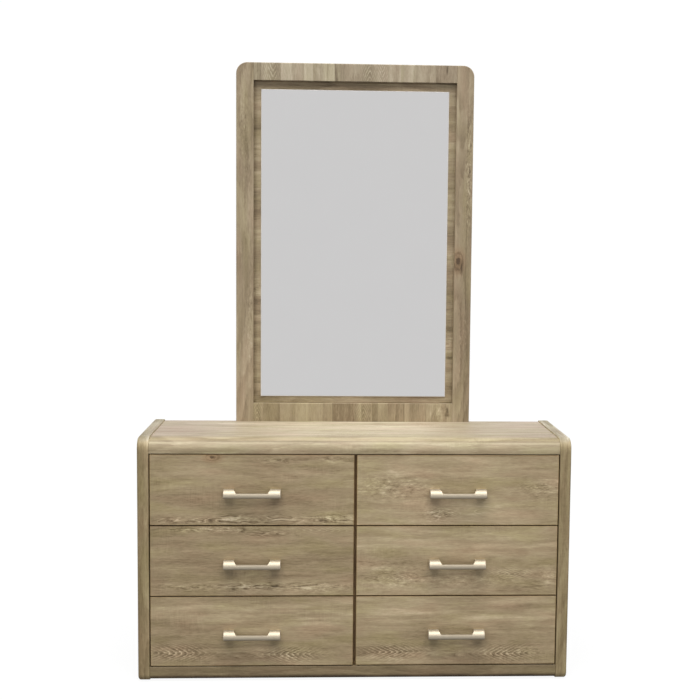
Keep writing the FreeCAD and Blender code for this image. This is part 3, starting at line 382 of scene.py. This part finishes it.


# drawer fronts: places in metres, from side to side and up; besides the print, the bands at each front's top
# and bottom edge are painted shade along the gaps
RIGHTWARD, LEFTWARD = 1.0, -1.0
FRONT_PRINT_AND_GAP_SHADE = {
    "top_left": dict(
        tone=-0.007, knots=[(-0.443, 0.7105, 0.0062, 0.75)],
        flecks=[(-0.06, 0.706, 0.07, 0.010, 1.0), (-0.37, 0.513, 0.10, 0.014, 0.9),
                (-0.07, 0.514, 0.08, 0.016, 1.6), (-0.56, 0.512, 0.08, 0.012, 0.9)],
        wild=[(-0.37, 0.514, 0.065, 0.015, 1.9), (-0.07, 0.516, 0.075, 0.014, 1.3),
              (-0.235, 0.513, 0.060, 0.014, 1.5), (-0.245, 0.700, 0.050, 0.010, 1.0),
              (-0.47, 0.512, 0.05, 0.010, 1.0), (-0.575, 0.511, 0.05, 0.010, 1.0),
              (-0.07, 0.700, 0.05, 0.008, 0.8)],
        arches=[(-0.25, 0.703, 0.06, 0.010, LEFTWARD, 0.020, 4.0, 0.35),
                (-0.30, 0.515, 0.06, 0.012, RIGHTWARD, 0.020, 3.0, 0.25)],
        patches=[(-0.39, 0.696, 0.05, 0.014, 0.10), (-0.10, 0.513, 0.016, 0.006, -0.30),
                 (-0.03, 0.517, 0.03, 0.012, 0.12), (-0.5, 0.64, 0.2, 0.05, 0.04),
                 (-0.33, 0.545, 0.25, 0.03, -0.06), (-0.62, 0.630, 0.035, 0.060, -0.09),
                 (-0.32, 0.513, 0.05, 0.012, 0.09)],
        # painted shade along the gaps at this front's top and bottom edges
        bands=[(0.7172, 0.0014, -0.05), (0.4977, 0.0012, -0.12)]),
    "top_right": dict(
        tone=0.12, flecks=[(0.12, 0.615, 0.13, 0.036, 1.2), (0.59, 0.610, 0.07, 0.030, 1.1),
                           (0.26, 0.530, 0.04, 0.018, 1.6)],
        wild=[(0.25, 0.535, 0.05, 0.020, 0.7), (0.57, 0.612, 0.06, 0.022, 0.7),
              (0.13, 0.632, 0.09, 0.020, 0.5), (0.38, 0.540, 0.08, 0.014, 0.5)],
        arches=[(0.265, 0.532, 0.05, 0.018, RIGHTWARD, 0.014, 2.6, 0.5),
                (0.56, 0.615, 0.07, 0.024, LEFTWARD, 0.018, 3.5, 0.35)],
        patches=[(0.13, 0.655, 0.03, 0.012, 0.10), (0.40, 0.528, 0.10, 0.014, 0.11),
                 (0.55, 0.60, 0.10, 0.03, -0.05), (0.23, 0.692, 0.06, 0.013, -0.10),
                 (0.30, 0.652, 0.30, 0.012, 0.06), (0.56, 0.540, 0.08, 0.028, -0.10)],
        # painted shade along the gap at this front's top edge
        bands=[(0.7160, 0.0022, -0.20)]),
    "middle_left": dict(
        tone=-0.006, flecks=[(-0.30, 0.305, 0.07, 0.014, 0.9), (-0.12, 0.299, 0.10, 0.014, 1.0),
                            (-0.50, 0.300, 0.10, 0.012, 0.8), (-0.45, 0.484, 0.14, 0.010, 1.2)],
        wild=[(-0.34, 0.300, 0.09, 0.013, 1.4), (-0.12, 0.300, 0.09, 0.012, 1.2),
              (-0.56, 0.300, 0.06, 0.010, 0.9), (-0.50, 0.484, 0.10, 0.010, 1.0),
              (-0.36, 0.482, 0.05, 0.009, 1.3), (-0.27, 0.470, 0.06, 0.009, 1.1)],
        arches=[(-0.26, 0.470, 0.09, 0.012, LEFTWARD, 0.024, 4.2, 0.30),
                (-0.10, 0.482, 0.10, 0.012, RIGHTWARD, 0.022, 4.6, 0.40),
                (-0.34, 0.297, 0.10, 0.014, LEFTWARD, 0.020, 3.0, 0.25)],
        patches=[(-0.378, 0.297, 0.014, 0.006, -0.34), (-0.30, 0.295, 0.04, 0.010, 0.14),
                 (-0.33, 0.385, 0.07, 0.012, -0.05), (-0.5, 0.33, 0.12, 0.02, -0.06),
                 (-0.40, 0.471, 0.07, 0.012, -0.09), (-0.05, 0.298, 0.05, 0.014, -0.08)],
        # painted shade along the gap at this front's top edge
        bands=[(0.4935, 0.0012, -0.24)]),
    "middle_right": dict(
        tone=0.103, flecks=[(0.12, 0.345, 0.12, 0.040, 1.3), (0.61, 0.330, 0.03, 0.030, 1.2),
                           (0.38, 0.320, 0.16, 0.024, 0.7)],
        wild=[(0.50, 0.340, 0.06, 0.020, 0.8), (0.12, 0.335, 0.09, 0.022, 0.6),
              (0.57, 0.300, 0.05, 0.018, 0.9)],
        arches=[(0.49, 0.343, 0.06, 0.016, RIGHTWARD, 0.017, 2.6, 0.55),
                (0.13, 0.330, 0.08, 0.020, RIGHTWARD, 0.016, 3.0, 0.35)],
        patches=[(0.61, 0.325, 0.016, 0.024, 0.13), (0.53, 0.300, 0.06, 0.020, -0.12),
                 (0.46, 0.288, 0.02, 0.008, -0.16), (0.40, 0.410, 0.03, 0.010, 0.08),
                 (0.30, 0.450, 0.30, 0.032, 0.08), (0.43, 0.380, 0.20, 0.020, -0.13),
                 (0.08, 0.362, 0.07, 0.022, 0.09), (0.57, 0.322, 0.03, 0.026, -0.08),
                 (0.05, 0.472, 0.06, 0.012, -0.08)],
        # painted shade along the gaps at this front's top and bottom edges
        bands=[(0.4935, 0.0012, -0.06), (0.2742, 0.0016, -0.10)]),
    "bottom_left": dict(
        tone=0.0, flecks=[(-0.55, 0.090, 0.08, 0.022, 1.0), (-0.20, 0.082, 0.08, 0.020, 1.0)],
        wild=[(-0.55, 0.090, 0.08, 0.018, 0.4), (-0.20, 0.082, 0.08, 0.016, 0.4),
              (-0.36, 0.085, 0.10, 0.014, 0.6)],
        arches=[(-0.55, 0.092, 0.085, 0.024, RIGHTWARD, 0.0185, 2.3, 0.85),
                (-0.20, 0.084, 0.080, 0.022, LEFTWARD, 0.0180, 2.3, 0.85)],
        patches=[(-0.42, 0.220, 0.26, 0.03, 0.12), (-0.52, 0.110, 0.20, 0.03, -0.10),
                 (-0.30, 0.078, 0.30, 0.024, -0.09), (-0.12, 0.212, 0.16, 0.032, 0.14),
                 (-0.12, 0.100, 0.15, 0.034, -0.10), (-0.20, 0.208, 0.12, 0.018, 0.17),
                 (-0.06, 0.240, 0.09, 0.022, 0.09), (-0.615, 0.085, 0.03, 0.012, -0.16)],
        # painted shade along the gaps at this front's top and bottom edges
        bands=[(0.2697, 0.0012, -0.14), (0.0503, 0.0012, -0.10)]),
    "bottom_right": dict(
        tone=0.047, flecks=[(0.12, 0.090, 0.08, 0.022, 1.0), (0.48, 0.088, 0.08, 0.022, 1.0)],
        wild=[(0.12, 0.090, 0.08, 0.018, 0.4), (0.48, 0.086, 0.08, 0.016, 0.4),
              (0.30, 0.084, 0.10, 0.014, 0.6)],
        arches=[(0.12, 0.092, 0.085, 0.024, RIGHTWARD, 0.0185, 2.3, 0.85),
                (0.48, 0.086, 0.085, 0.024, LEFTWARD, 0.0185, 2.3, 0.85)],
        patches=[(0.20, 0.215, 0.24, 0.03, 0.11), (0.12, 0.105, 0.20, 0.03, -0.09),
                 (0.38, 0.076, 0.28, 0.024, -0.09), (0.50, 0.210, 0.17, 0.032, 0.14),
                 (0.52, 0.100, 0.15, 0.034, -0.10), (0.50, 0.252, 0.14, 0.014, 0.10),
                 (0.12, 0.252, 0.06, 0.013, -0.09), (0.02, 0.085, 0.03, 0.012, -0.12)],
        # painted shade along the gaps at this front's top and bottom edges
        bands=[(0.2697, 0.0012, -0.08), (0.0510, 0.0020, -0.24)]),
}
for count, tag in enumerate(TAGS):
    space = straight("oak_front_" + tag, "X", "Z", "Y")
    turned = space[0].normal()[1]
    # painted shade in the gaps: rim darkens each front's edges, less on the top row
    rim = (0.86, 0.78, 0.64) if tag.startswith("top") else (0.36, 0.30, 0.21)
    low = 0.0495 + 0.2238 * ("bottom", "middle", "top").index(tag.split("_")[0])
    left = 0.0045 if tag.endswith("right") else -0.6360
    dress(oak("oak_front_" + tag, space, 1.0 + count, gain=(1.033, 0.997, 0.934), mottle=0.50,
              streak=0.30, fibre=0.36, hue=1.1, wobble=0.8, figure=0.03, edge=(turned, rim),
              # lined paints a brown line of shade round each face, along the gaps
              lined=(left, left + 0.6315, low, low + 0.2208, 0.0013), **FRONT_PRINT_AND_GAP_SHADE[tag]),
          "drawer_front_" + tag)

# side panels, grain upright
for count, side in enumerate(("left", "right")):
    space = wrapped("oak_side_" + side, "Z", "Y", "X", 1.0, "X", FRONT)
    sign = -1.0 if side == "left" else 1.0
    up = space[0].normal()[2]
    dress(oak("oak_side_" + side, space, 11.0 + count, gain=(0.79, 0.76, 0.655), streak=0.28, shine=0.3,
              # crown paints light and sheen on the upward-facing tops
              crown=(up, (1.05, 1.16, 1.48)),
              strips=[(sign * 0.668, 0.006, -0.01 if sign < 0 else 0.07),
                      (sign * 0.650, 0.0025, 0.10), (sign * 0.6435, 0.0028, 0.12)],
              # the first patch is painted light on the rounded top front corner
              patches=[(0.80, FRONT, 0.055, 0.05, 0.19), (1.02, FRONT, 0.17, 0.012, 0.18)],
              # the second round is painted light in the crease where the side meets the top
              rounds=[(0.768, sign * 0.668, 0.036, 0.010, 0.17 if sign < 0 else 0.12),
                      (0.768, sign * 0.6400, 0.036, 0.003, 0.28)],
              arches=[(0.40, 0.02, 0.30, 0.06, 1.0, 0.030, 5.0, 0.35)]), "side_panel_" + side)

# top and rails, grain from side to side
space = straight("oak_top", "X", "Y", "Z")
# edge paints light on the top's edges, against the shade in the seams by the sides
dress(oak("oak_top", space, 21.0, edge=(space[0].normal()[2], (1.28, 1.28, 1.28)),
          # the gain, lighter and cooler than the fronts', is painted light and sheen from above
          gain=(1.035, 1.09, 1.185), mottle=0.45, figure=0.03, fibre=0.30, shine=0.35, flecks=[(0.0, 0.10, 0.3, 0.04, 0.3)],
          # the first patch is painted light in the middle, where the mirror blocks the light from behind; the
          # second lightens a band near the back
          patches=[(0.05, 0.03, 0.42, 0.5, 0.16), (-0.05, 0.12, 0.80, 0.09, 0.07)],
          cool=[(-0.64, 0.0, 0.25, 1.0), (0.64, 0.0, 0.25, 1.0)]), "top_panel")


def nosed(name):
    """A rail whose nose is wrapped: across the grain is along its section."""
    g = Graph(name)
    x, y, z = g.place()
    return g, (x, g.plus(y, z), g.times(g.less(y, z), 0.15))


dress(oak("oak_top_rail", nosed("oak_top_rail"), 22.0, gain=(1.03, 1.05, 1.04), mottle=0.4,
          fibre=0.30, shine=0.4,
          # bands: painted light on the flat top and on the face below the nose, a thin dark line, and a painted
          # highlight along the nose
          bands=[(TOP + FRONT + 0.028, 0.022, 0.11), (TOP + FRONT + 0.0068, 0.0034, -0.15),
                 (TOP + FRONT - 0.0035, 0.0055, 0.15), (TOP + FRONT - 0.023, 0.010, 0.08)],
          # patches: lighter and darker places, partly print and partly painted highlights and shade on the nose
          patches=[(0.62, TOP + FRONT - 0.008, 0.19, 0.020, -0.22),
                   (-0.56, TOP + FRONT - 0.006, 0.10, 0.009, 0.16),
                   (0.41, TOP + FRONT - 0.012, 0.06, 0.010, 0.27),
                   (0.29, TOP + FRONT - 0.016, 0.07, 0.012, 0.17),
                   (0.17, TOP + FRONT - 0.030, 0.06, 0.010, 0.18),
                   (0.04, TOP + FRONT - 0.022, 0.06, 0.014, 0.12),
                   (-0.185, TOP + FRONT - 0.018, 0.06, 0.022, -0.12),
                   (-0.43, TOP + FRONT - 0.018, 0.06, 0.012, 0.12),
                   (0.16, TOP + FRONT + 0.033, 0.06, 0.012, 0.20),
                   (0.41, TOP + FRONT + 0.045, 0.05, 0.010, 0.15),
                   (-0.43, TOP + FRONT + 0.033, 0.06, 0.010, 0.13)]),
      "top_front_rail")
dress(oak("oak_bottom_rail", nosed("oak_bottom_rail"), 23.0, gain=(0.63, 0.59, 0.50), mottle=0.4,
          # the band is painted shade on the lower rounding, where the nose turns under
          bands=[(FRONT + 0.0172, 0.0052, -0.42)]),
      "bottom_front_rail")

# mirror frame
for count, side in enumerate(("left", "right")):
    sign = -1.0 if side == "left" else 1.0
    space = wrapped("oak_stile_" + side, "Z", "X", "Y", -sign, "Y", sign * STILE_X)
    if side == "right":
        extra = dict(gain=(0.97, 0.96, 0.98), knots=[(1.316, 0.352, 0.0088, 0.95)],
                     bands=[(0.344, 0.0035, 0.08), (0.378, 0.0016, -0.14), (0.388, 0.006, -0.06)],
                     patches=[(1.292, 0.364, 0.020, 0.004, -0.30), (1.20, 0.37, 0.10, 0.01, -0.08),
                              (1.60, 0.362, 0.22, 0.010, -0.08), (1.62, 0.370, 0.24, 0.022, -0.045),
                              (0.92, 0.350, 0.10, 0.008, 0.06)],
                     flecks=[(1.62, 0.384, 0.20, 0.010, 1.3), (1.05, 0.366, 0.14, 0.016, 0.6)])
    else:
        extra = dict(gain=(0.99, 0.98, 1.01),
                     bands=[(-0.386, 0.005, -0.05), (-0.3715, 0.0025, 0.07), (-0.353, 0.005, 0.05)],
                     patches=[(1.50, -0.362, 0.20, 0.010, -0.06), (0.95, -0.380, 0.15, 0.010, -0.05)],
                     flecks=[(1.75, -0.370, 0.16, 0.020, 0.6), (1.10, -0.352, 0.14, 0.010, 0.7)])
    dress(oak("oak_stile_" + side, space, 31.0 + count, mottle=0.65, streak=0.23, fibre=0.25, saw=0.0, **extra),
          "mirror_stile_" + side)
dress(oak("oak_head", straight("oak_head", "Z", "X", "Y"), 33.0, gain=(1.13, 1.18, 1.31),
          mottle=0.32, streak=0.20, fibre=0.4, hue=0.6, saw=0.0,
          slabs=[(-0.345, -0.308, 0.00, 0.00), (-0.308, -0.248, -0.01, 0.05),
                 (-0.248, -0.172, 0.06, -0.05), (-0.172, -0.143, 0.16, 0.10),
                 (-0.143, -0.070, 0.08, 0.08), (-0.070, -0.051, -0.13, 0.05),
                 (-0.051, 0.014, -0.05, -0.08), (0.014, 0.108, -0.02, 0.00),
                 (0.108, 0.150, 0.06, -0.03), (0.150, 0.199, 0.12, 0.03),
                 (0.199, 0.268, 0.04, 0.08), (0.268, 0.345, -0.15, -0.15)],
          bands=[(-0.326, 0.0018, -0.18), (-0.317, 0.0018, -0.20), (0.147, 0.0016, 0.16)],
          arches=[(1.935, -0.278, 0.05, 0.028, -1.0, 0.020, 3.2, 0.6),
                  (1.932, 0.045, 0.05, 0.022, 1.0, 0.019, 3.0, 0.6),
                  (1.938, 0.088, 0.05, 0.016, -1.0, 0.018, 2.8, 0.5)],
          patches=[(1.953, 0.305, 0.014, 0.0022, -0.45)]),
      "mirror_top_rail")
dress(oak("oak_sill", straight("oak_sill", "Z", "X", "Y"), 34.0, gain=(1.02, 1.025, 1.01),
          mottle=0.32, streak=0.20, hue=0.6, saw=0.0,
          slabs=[(-0.345, -0.307, 0.00, 0.05), (-0.307, -0.249, -0.09, 0.00),
                 (-0.249, -0.196, 0.00, 0.00), (-0.196, -0.151, 0.09, 0.03),
                 (-0.151, -0.071, 0.05, 0.05), (-0.071, -0.029, -0.11, 0.00),
                 (-0.029, 0.005, -0.14, -0.15), (0.005, 0.065, 0.03, 0.00),
                 (0.065, 0.084, -0.14, 0.15), (0.084, 0.118, 0.05, 0.00),
                 (0.118, 0.176, 0.00, -0.08), (0.176, 0.192, 0.09, -0.10),
                 (0.192, 0.250, -0.02, -0.05), (0.250, 0.345, 0.05, 0.03)],
          patches=[(0.811, 0.3225, 0.007, 0.0028, -0.30), (0.800, 0.3220, 0.008, 0.0055, -0.36),
                   (0.789, 0.3210, 0.005, 0.0090, -0.36), (0.796, 0.2920, 0.014, 0.010, 0.12)],
          flecks=[(0.80, 0.30, 0.03, 0.03, 0.8)],
          arches=[(0.80, -0.325, 0.04, 0.014, 1.0, 0.016, 2.5, 0.5),
                  (0.80, 0.035, 0.04, 0.024, 1.0, 0.016, 2.5, 0.5)]),
      "mirror_bottom_rail")
dress(oak("oak_backing", straight("oak_backing", "X", "Z", "Y"), 35.0, gain=(1.02, 1.01, 1.0),
          mottle=0.8, flecks=[(0.328, 1.05, 0.02, 0.05, 0.6), (-0.33, 1.20, 0.02, 0.06, 0.5)],
          patches=[(0.330, 0.985, 0.012, 0.006, -0.40), (0.325, 1.085, 0.02, 0.010, -0.25),
                   (-0.330, 1.175, 0.02, 0.012, -0.25), (-0.328, 1.100, 0.02, 0.008, -0.20),
                   (0.322, 1.760, 0.01, 0.060, -0.10)],
          # the dark bands are painted shadow under the head rail and painted shade in the corner above the sill
          bands=[(1.9085, 0.0035, -0.34), (1.8930, 0.0090, -0.21), (0.8430, 0.0090, 0.05),
                 (0.8300, 0.0015, -0.22)],
          # the posts are painted shade along the stiles' inner edges
          posts=[(-0.3385, 0.0030, -0.08), (-0.3340, 0.0060, -0.10), (0.3385, 0.0026, -0.05),
                 (0.3235, 0.0060, -0.05)]),
      "mirror_backing_board")

# carcass boards behind the fronts
dress(oak("oak_carcass", straight("oak_carcass", "X", "Y", "Z"), 41.0, gain=(0.9, 0.88, 0.84)),
      "bottom_panel")
dress(oak("oak_divider", straight("oak_divider", "Z", "Y", "X"), 42.0, gain=(0.95, 0.74, 0.50)),
      "centre_divider")


# ------------------------------------------------------------ boards and fittings
def pale_board():
    """Drawer boxes: pale foil with a faint straight grain."""
    g = Graph("drawer_board")
    x, y, z = g.place()
    nx = g.normal()[0]
    lines = g.noise(g.times(x, 9.0), g.times(y, 9.0), g.times(z, 160.0), 1.0, 4.0, 0.6)
    hairs = g.noise(g.times(x, 25.0), g.times(y, 25.0), g.times(z, 900.0), 1.0, 2.0, 0.6)
    clouds = g.noise(x, y, z, 12.0, 2.0)
    level = g.plus(0.5, g.about(lines, 0.8), g.about(hairs, 0.4), g.about(clouds, 0.5))
    colour = g.ramp(level, [(0.0, linear(176, 162, 136)), (0.5, linear(206, 195, 172)),
                            (1.0, linear(226, 217, 198))])
    g.relief(g.plus(g.about(lines, 0.5), g.about(hairs, 0.5)), 0.25, 0.0002)
    return g.finish(colour, g.plus(0.52, g.about(lines, 0.14)), Specular_IOR_Level=0.5)


def hardboard():
    """Brown pressed fibre: fine specks, no direction."""
    g = Graph("hardboard")
    x, y, z = g.place()
    specks = g.noise(x, y, z, 900.0, 3.0, 0.7)
    clouds = g.noise(x, y, z, 22.0, 3.0)
    bits = g.noise(g.times(x, 260.0), g.times(y, 260.0), g.times(z, 420.0), 1.0, 2.0, 0.6)
    level = g.plus(0.5, g.about(specks, 0.9), g.about(clouds, 0.4), g.about(bits, 0.5))
    colour = g.ramp(level, [(0.0, linear(114, 90, 63)), (0.5, linear(160, 134, 101)),
                            (1.0, linear(190, 166, 131))])
    g.relief(g.plus(g.about(specks, 1.0), g.about(bits, 0.6)), 0.3, 0.0002)
    return g.finish(colour, g.plus(0.62, g.about(bits, 0.2)), Specular_IOR_Level=0.4)


def pine():
    """Planed softwood battens: wide soft growth rings along Z."""
    g = Graph("pine_batten")
    x, y, z = g.place()
    swing = g.noise(g.times(x, 10.0), g.times(y, 10.0), g.times(z, 1.5), 1.0, 2.0)
    a = g.plus(x, g.about(swing, 0.03))
    b = g.plus(y, g.times(z, 0.015), -0.23)
    side = g.maths("SIGN", x)
    a = g.less(a, g.times(side, 0.35))
    r = g.maths("SQRT", g.plus(g.times(a, a), g.times(b, b)))
    phase = g.maths("FRACT", g.plus(g.times(r, 1.0 / 0.0045), g.about(swing, 1.5)))
    ring = g.times(g.between(phase, 0.35, 0.9), g.between(phase, 1.0, 0.93))
    hairs = g.noise(g.times(x, 900.0), g.times(y, 900.0), g.times(z, 18.0), 1.0, 3.0)
    level = g.plus(0.62, g.times(ring, -0.42), g.about(hairs, 0.5), g.about(swing, 0.5))
    colour = g.ramp(level, [(0.0, linear(176, 128, 76)), (0.5, linear(213, 175, 120)),
                            (1.0, linear(236, 208, 160))])
    g.relief(g.plus(g.about(hairs, 0.8), g.times(ring, 0.5)), 0.3, 0.0003)
    return g.finish(colour, g.plus(0.60, g.about(hairs, 0.16)), Specular_IOR_Level=0.4)


def silvered_glass():
    """Silvered at the back; its polished edge scatters a little light."""
    g = Graph("mirror_glass")
    x, y, z = g.place()
    film = g.noise(x, y, z, 9.0, 3.0)
    facing = g.maths("ABSOLUTE", g.normal()[1])
    flat = g.between(facing, 0.80, 0.98)
    silver = g.ramp(film, [(0.0, linear(242, 241, 241)), (1.0, linear(244, 243, 243))])
    ground = g.ramp(film, [(0.0, linear(234, 230, 224)), (1.0, linear(242, 238, 232))])
    g.relief(g.noise(x, y, z, 2.2, 0.0), 0.02, 0.0005)
    g.feed(g.shader.inputs["Metallic"], flat)
    rough = g.plus(g.about(film, 0.008), g.between(flat, 0.0, 1.0, 0.30, 0.012))
    g.feed(g.shader.inputs["Base Color"], g.mix(flat, ground, silver))
    g.feed(g.shader.inputs["Roughness"], rough)
    return g.material


def satin_nickel():
    """Brushed along X, plated."""
    g = Graph("satin_nickel")
    x, y, z = g.place()
    brush = g.noise(g.times(x, 60.0), g.times(y, 5200.0), g.times(z, 5200.0), 1.0, 2.0, 0.6)
    cloud = g.noise(x, y, z, 60.0, 2.0)
    colour = g.ramp(g.plus(0.5, g.about(brush, 0.6), g.about(cloud, 0.4)),
                    [(0.0, linear(180, 169, 148)), (0.5, linear(191, 180, 160)),
                     (1.0, linear(200, 190, 174))])
    g.relief(brush, 0.12, 0.00008)
    return g.finish(colour, g.plus(0.60, g.about(brush, 0.12), g.about(cloud, 0.06)), metal=1.0)


def zinc_steel():
    g = Graph("zinc_steel")
    x, y, z = g.place()
    spangle = g.add("ShaderNodeTexVoronoi", feature="F1")
    g.feed(spangle.inputs["Vector"], g.vector(x, g.times(y, 0.6), z))
    spangle.inputs["Scale"].default_value = 320.0
    split = g.add("ShaderNodeSeparateColor")
    g.tree.links.new(spangle.outputs["Color"], split.inputs[0])
    drawn = g.noise(g.times(x, 2400.0), g.times(y, 30.0), g.times(z, 2400.0), 1.0, 2.0)
    level = g.plus(0.5, g.about(split.outputs[0], 0.30), g.about(drawn, 0.5))
    colour = g.ramp(level, [(0.0, linear(186, 189, 191)), (0.5, linear(207, 209, 210)),
                            (1.0, linear(224, 226, 226))])
    g.relief(drawn, 0.15, 0.0001)
    return g.finish(colour, g.plus(0.36, g.about(split.outputs[1], 0.12), g.about(drawn, 0.1)), metal=1.0)


def glide_plastic():
    g = Graph("glide_plastic")
    x, y, z = g.place()
    grit = g.noise(x, y, z, 1600.0, 2.0)
    colour = g.ramp(grit, [(0.3, linear(38, 36, 34)), (0.7, linear(56, 54, 51))])
    g.relief(grit, 0.3, 0.0002)
    return g.finish(colour, g.plus(0.55, g.about(grit, 0.2)), Specular_IOR_Level=0.5)


pale, brown, nickel, zinc = pale_board(), hardboard(), satin_nickel(), zinc_steel()
dress(brown, "back_panel")
dress(pine(), "mirror_supports")
dress(silvered_glass(), "mirror_glass")
dress(zinc, "mirror_screws", "cabinet_slides")
dress(glide_plastic(), "floor_glides")
for tag in TAGS:
    dress(pale, "drawer_sides_" + tag, "drawer_back_" + tag)
    dress(brown, "drawer_bottom_" + tag)
    dress(nickel, "handle_" + tag)
    dress(zinc, "drawer_slides_" + tag, "slide_middles_" + tag)


# ------------------------------------------------------------------------- stage
def floor_disc():
    rings, sides, size = 24, 96, 2.6
    verts, faces = [(0.0, 0.0, 0.0)], []
    for r in range(1, rings + 1):
        for s in range(sides):
            a = 2 * math.pi * s / sides
            verts.append((size * r / rings * math.cos(a), size * r / rings * math.sin(a), 0.0))
    for s in range(sides):
        faces.append((0, 1 + s, 1 + (s + 1) % sides))
    for r in range(rings - 1):
        for s in range(sides):
            a, b = 1 + r * sides + s, 1 + r * sides + (s + 1) % sides
            faces.append((a, a + sides, b + sides, b))
    mesh = bpy.data.meshes.new("floor")
    mesh.from_pydata(verts, [], faces)
    floor = bpy.data.objects.new("floor", mesh)
    SCENE.collection.objects.link(floor)
    g = Graph("pale_floor")
    x, y, z = g.place()
    far = g.maths("SQRT", g.plus(g.times(x, x), g.times(y, y)))
    rim = g.between(far, 1.35, 2.45)
    grit = g.noise(x, y, z, 240.0, 3.0)
    lit = g.ramp(grit, [(0.0, (0.065, 0.065, 0.065, 1.0)), (1.0, (0.075, 0.075, 0.075, 1.0))])
    g.feed(g.shader.inputs["Base Color"], g.mix(rim, lit, (0.0, 0.0, 0.0, 1.0)))
    g.shader.inputs["Roughness"].default_value = 0.8
    g.shader.inputs["Specular IOR Level"].default_value = 0.0
    g.feed(g.shader.inputs["Emission Color"],
           g.mix(rim, (0.92, 0.92, 0.92, 1.0), (1.02, 1.02, 1.02, 1.0)))
    g.shader.inputs["Emission Strength"].default_value = 1.0
    mesh.materials.append(g.material)
    floor.visible_diffuse = False
    floor.visible_glossy = False
    return floor


floor_disc()


def softbox(name, azimuth, elevation, wide, high, level):
    """A far soft light. Its direction and its apparent size are in degrees, and level is
    what it adds to a white surface that faces it."""
    away = 20.0
    a, e = math.radians(azimuth), math.radians(elevation)
    toward = Vector((math.sin(a) * math.cos(e), -math.cos(a) * math.cos(e), math.sin(e)))
    data = bpy.data.lights.new(name, "AREA")
    data.shape = "RECTANGLE"
    data.size = 2.0 * away * math.tan(math.radians(wide / 2.0))
    data.size_y = 2.0 * away * math.tan(math.radians(high / 2.0))
    data.energy = level * (math.pi * away) ** 2
    lamp = bpy.data.objects.new(name, data)
    SCENE.collection.objects.link(lamp)
    lamp.location = Vector((0.0, 0.0, 0.9)) + toward * away
    lamp.rotation_mode = "QUATERNION"
    lamp.rotation_quaternion = (-toward).to_track_quat("-Z", "Y")
    lamp.visible_camera = False
    return lamp


softbox("key_left", -30.0, 45.0, 20.0, 14.0, 0.24)
softbox("key_right", 32.0, 45.0, 20.0, 14.0, 0.24)
softbox("overhead", 0.0, 74.0, 40.0, 14.0, 0.92)


def studio():
    """A pale room: light card in front, white sweep behind, dim elsewhere."""
    world = bpy.data.worlds.new("studio")
    SCENE.world = world
    world.use_nodes = True
    tree = world.node_tree
    tree.nodes.clear()

    def add(kind, **settings):
        made = tree.nodes.new(kind)
        for key, value in settings.items():
            setattr(made, key, value)
        return made

    def ramp(source, stops):
        made = add("ShaderNodeValToRGB")
        row = made.color_ramp.elements
        row.remove(row[-1])
        row[0].position, row[0].color = stops[0][0], (stops[0][1],) * 3 + (1.0,)
        for where, level in stops[1:]:
            row.new(where).color = (level,) * 3 + (1.0,)
        tree.links.new(source, made.inputs[0])
        return made.outputs[0]

    where = add("ShaderNodeTexCoord")
    split = add("ShaderNodeSeparateXYZ")
    tree.links.new(where.outputs["Generated"], split.inputs[0])
    height = add("ShaderNodeMapRange")
    height.inputs[1].default_value, height.inputs[2].default_value = -1.0, 1.0
    tree.links.new(split.outputs[2], height.inputs[0])
    ahead = ramp(height.outputs[0], [(0.0, 0.28), (0.18, 0.32), (0.32, 0.50), (0.42, 0.667),
                                     (0.60, 0.667), (0.68, 0.34), (0.85, 0.35), (1.0, 0.5)])
    behind = ramp(height.outputs[0], [(0.0, 0.15), (0.44, 0.50), (0.5, 0.80), (0.72, 0.80),
                                      (0.82, 0.45), (1.0, 0.5)])
    side = add("ShaderNodeMapRange", interpolation_type="SMOOTHSTEP")
    side.inputs[1].default_value, side.inputs[2].default_value = -0.25, 0.25
    tree.links.new(split.outputs[1], side.inputs[0])
    room = add("ShaderNodeMix", data_type="RGBA")
    tree.links.new(side.outputs[0], room.inputs[0])
    tree.links.new(ahead, room.inputs[6])
    tree.links.new(behind, room.inputs[7])
    seen = add("ShaderNodeLightPath")
    shown = add("ShaderNodeMix", data_type="RGBA")
    tree.links.new(seen.outputs["Is Camera Ray"], shown.inputs[0])
    tree.links.new(room.outputs[2], shown.inputs[6])
    shown.inputs[7].default_value = (1.02, 1.02, 1.02, 1.0)
    light = add("ShaderNodeBackground")
    tree.links.new(shown.outputs[2], light.inputs["Color"])
    out = add("ShaderNodeOutputWorld")
    tree.links.new(light.outputs[0], out.inputs["Surface"])


studio()
SCENE.view_settings.view_transform = "Standard"
SCENE.view_settings.look = "None"
SCENE.view_settings.exposure = 0.0
SCENE.view_settings.gamma = 1.0

# ------------------------------------------------------------------------ camera
YAW, PITCH, ROLL = -0.0474, -0.0876, -0.0101
turn = (Matrix.Rotation(YAW, 3, "Z") @ Matrix.Rotation(PITCH, 3, "X") @ Matrix.Rotation(ROLL, 3, "Y"))
right, ahead, up = turn.col[0].copy(), turn.col[1].copy(), turn.col[2].copy()
lens = bpy.data.cameras.new("camera")
lens.sensor_fit = "HORIZONTAL"
lens.sensor_width = 36.0
lens.lens = 63.974
lens.shift_x = -0.04476
lens.shift_y = 0.00628
lens.clip_start, lens.clip_end = 0.1, 60.0
camera = bpy.data.objects.new("camera", lens)
SCENE.collection.objects.link(camera)
pose = Matrix.Identity(4)
for row in range(3):
    pose[row][0], pose[row][1], pose[row][2] = right[row], up[row], -ahead[row]
pose[0][3], pose[1][3], pose[2][3] = -0.1051, -4.0155, 1.3677
camera.matrix_world = pose
SCENE.camera = camera
